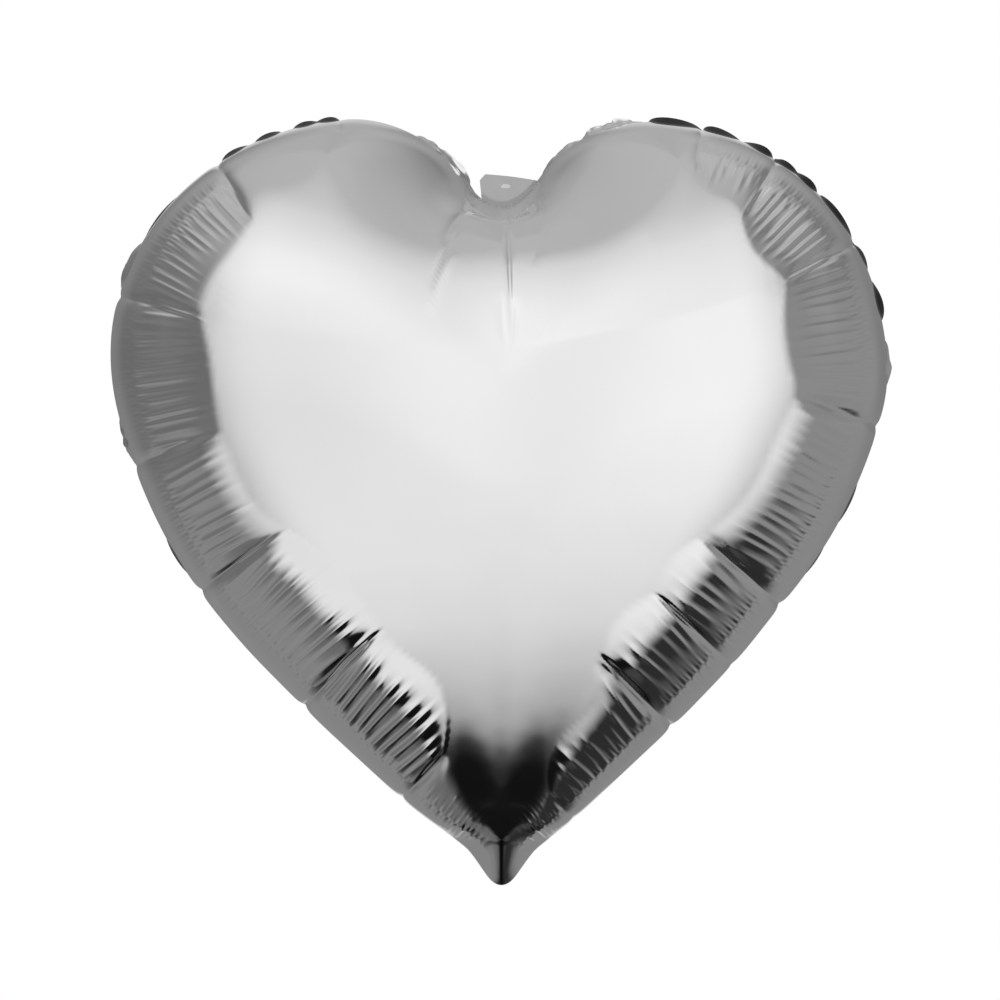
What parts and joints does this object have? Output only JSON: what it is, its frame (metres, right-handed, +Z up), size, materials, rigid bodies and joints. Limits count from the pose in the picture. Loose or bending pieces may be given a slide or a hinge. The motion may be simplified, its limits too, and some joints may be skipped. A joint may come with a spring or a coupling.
{
  "type": "heart-shaped foil balloon",
  "caption": "Inflated heart-shaped foil balloon with a sealed flange, an inflation tab in the cleft and a flat self-sealing valve inside.",
  "frame": {"origin": "centre of the inflation port, on the plane where the two foil panels are sealed together", "axes": "+Z up from the tip to the lobes, front face towards -Y, +X to the right seen from the front"},
  "size_m": [0.374, 0.1836, 0.3692],
  "materials": {
    "silver_foil": "thin metallised film, silver mirror with fine wrinkles at the seams",
    "valve_film": "thin clear film, slightly milky"
  },
  "bodies": {
    "envelope": {"front_panel": "silver_foil", "back_panel": "silver_foil", "valve_throat_front": "valve_film", "valve_throat_back": "valve_film"},
    "tab": {"tab_front_ply": "silver_foil", "tab_back_ply": "silver_foil", "valve_mouth_front": "valve_film", "valve_mouth_back": "valve_film"},
    "valve_tongue": {"valve_tongue_front": "valve_film", "valve_tongue_back": "valve_film"}
  },
  "joints": [
    {"name": "tab_fold", "type": "hinge", "parent": "envelope", "child": "tab", "pos_m": [0, 0, -0.0045], "axis": [1, 0, 0], "range_deg": [-60, 60], "stiffness_Nm_per_rad": 0.00002},
    {"name": "tongue_swing", "type": "hinge", "parent": "envelope", "child": "valve_tongue", "pos_m": [0, 0, -0.0122], "axis": [1, 0, 0], "range_deg": [-15, 15]}
  ]
}
